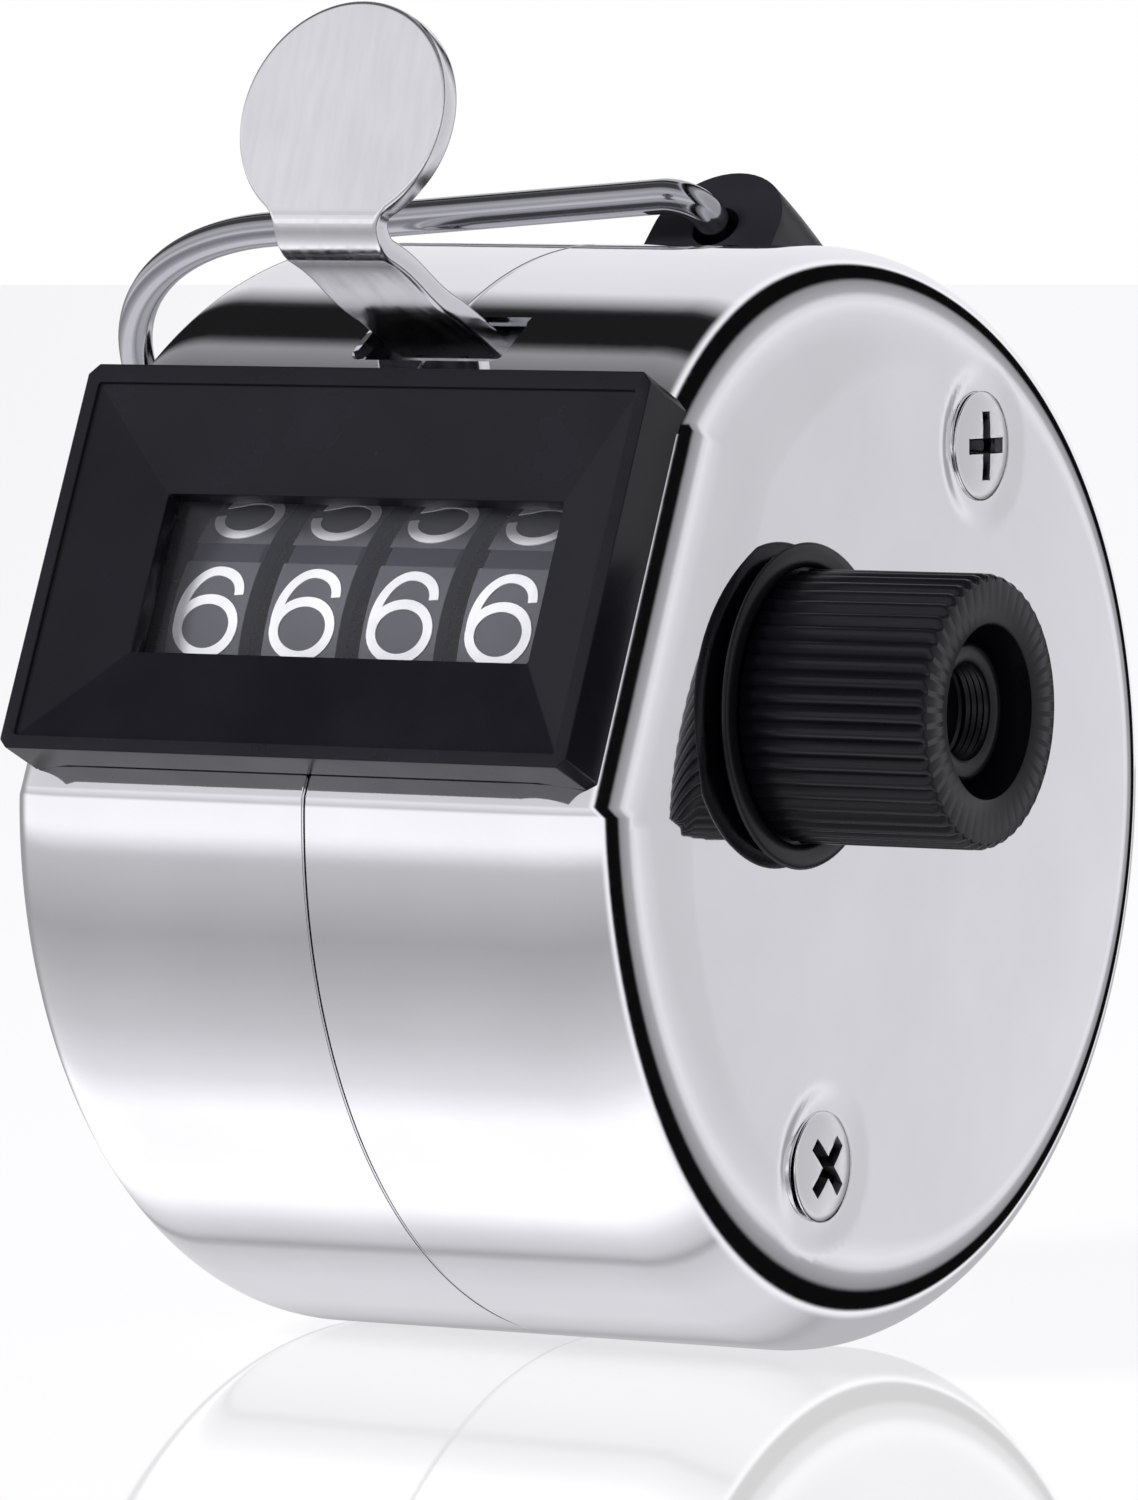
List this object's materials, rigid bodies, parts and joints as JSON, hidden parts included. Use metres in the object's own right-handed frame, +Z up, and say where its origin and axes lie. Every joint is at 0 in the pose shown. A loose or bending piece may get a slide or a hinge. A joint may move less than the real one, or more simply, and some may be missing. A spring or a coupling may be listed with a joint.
{
  "type": "hand tally counter",
  "caption": "Round chromed hand tally counter: number wheels behind a tilted black bezel, thumb lever, ribbed reset knob and swivelling wire finger ring.",
  "frame": {"origin": "on the round case's axis, half way along the case", "axes": "+X along the case axis towards the reset knob, -Y to the display side, +Z up through the thumb lever"},
  "size_m": [0.0557, 0.048, 0.0549],
  "materials": {
    "case_chrome": "mirror polished",
    "lever_chrome": "satin",
    "ring_wire": "polished",
    "screw_steel": "polished",
    "frame_steel": "brushed",
    "brass": "turned",
    "bezel_plastic": "semi-gloss",
    "block_plastic": "semi-matte",
    "knob_plastic": "semi-matte",
    "wheel_plastic": "matte with white printed digits",
    "clear_lens": "clear"
  },
  "bodies": {
    "case": {"left_shell": "case_chrome", "right_shell": "case_chrome", "bezel": "bezel_plastic", "window_lens": "clear_lens", "frame_plate_left": "frame_steel", "frame_plate_right": "frame_steel", "spacer_post_upper": "brass", "spacer_post_lower": "brass", "case_screw_upper": "screw_steel", "case_screw_lower": "screw_steel", "ring_block": "block_plastic", "lever_pivot_pin": "frame_steel", "lever_spring": "frame_steel", "check_finger": "frame_steel", "pinion_shaft": "frame_steel", "knob_collar": "knob_plastic"},
    "ring": {"finger_ring": "ring_wire"},
    "lever": {"thumb_lever": "lever_chrome", "pawl_pin": "frame_steel"},
    "pawl": {"drive_pawl": "frame_steel"},
    "reset": {"reset_knob": "knob_plastic", "wheel_shaft": "frame_steel"},
    "units": {"wheel_units": "wheel_plastic", "ratchet_wheel": "brass"},
    "tens": {"wheel_tens": "wheel_plastic"},
    "hundreds": {"wheel_hundreds": "wheel_plastic"},
    "thousands": {"wheel_thousands": "wheel_plastic"},
    "tens_pinion": {"pinion_tens": "brass"},
    "hundreds_pinion": {"pinion_hundreds": "brass"},
    "thousands_pinion": {"pinion_thousands": "brass"}
  },
  "joints": [
    {"name": "thumb_lever_press", "type": "hinge", "parent": "case", "child": "lever", "pos_m": [0, -0.00868, 0.01775], "axis": [1, 0, 0], "range_deg": [0, 16], "stiffness_Nm_per_rad": 0.05, "springref_deg": -20.05},
    {"name": "units_wheel_step", "type": "hinge", "parent": "case", "child": "units", "pos_m": [0, -0.0102, 0.0044], "axis": [1, 0, 0], "range_deg": [-36, 0]},
    {"name": "drive_pawl_lift", "type": "hinge", "parent": "lever", "child": "pawl", "pos_m": [0, -0.0065, 0.0109], "axis": [-1, 0, 0], "range_deg": [0, 15], "stiffness_Nm_per_rad": 0.0005, "springref_deg": -22.92},
    {"name": "finger_ring_swivel", "type": "hinge", "parent": "case", "child": "ring", "pos_m": [0.0004, 0.01577, 0.01751], "axis": [0, 0.7431, -0.6691], "range_deg": [0, 192]},
    {"name": "reset_knob_turn", "type": "hinge", "parent": "case", "child": "reset", "pos_m": [0, -0.0102, 0.0044], "axis": [1, 0, 0], "continuous": true},
    {"name": "tens_wheel_turn", "type": "hinge", "parent": "case", "child": "tens", "pos_m": [0, -0.0102, 0.0044], "axis": [1, 0, 0], "continuous": true},
    {"name": "tens_pinion_turn", "type": "hinge", "parent": "case", "child": "tens_pinion", "pos_m": [0, -0.00196, -0.00036], "axis": [1, 0, 0], "continuous": true},
    {"name": "hundreds_wheel_turn", "type": "hinge", "parent": "case", "child": "hundreds", "pos_m": [0, -0.0102, 0.0044], "axis": [1, 0, 0], "continuous": true},
    {"name": "hundreds_pinion_turn", "type": "hinge", "parent": "case", "child": "hundreds_pinion", "pos_m": [0, -0.00196, -0.00036], "axis": [1, 0, 0], "continuous": true},
    {"name": "thousands_wheel_turn", "type": "hinge", "parent": "case", "child": "thousands", "pos_m": [0, -0.0102, 0.0044], "axis": [1, 0, 0], "continuous": true},
    {"name": "thousands_pinion_turn", "type": "hinge", "parent": "case", "child": "thousands_pinion", "pos_m": [0, -0.00196, -0.00036], "axis": [1, 0, 0], "continuous": true}
  ],
  "couplings": [
    {"joint": "units_wheel_step", "follows": "thumb_lever_press", "ratio": -2.25},
    {"joint": "tens_pinion_turn", "follows": "tens_wheel_turn", "ratio": -2.5},
    {"joint": "hundreds_pinion_turn", "follows": "hundreds_wheel_turn", "ratio": -2.5},
    {"joint": "thousands_pinion_turn", "follows": "thousands_wheel_turn", "ratio": -2.5}
  ]
}
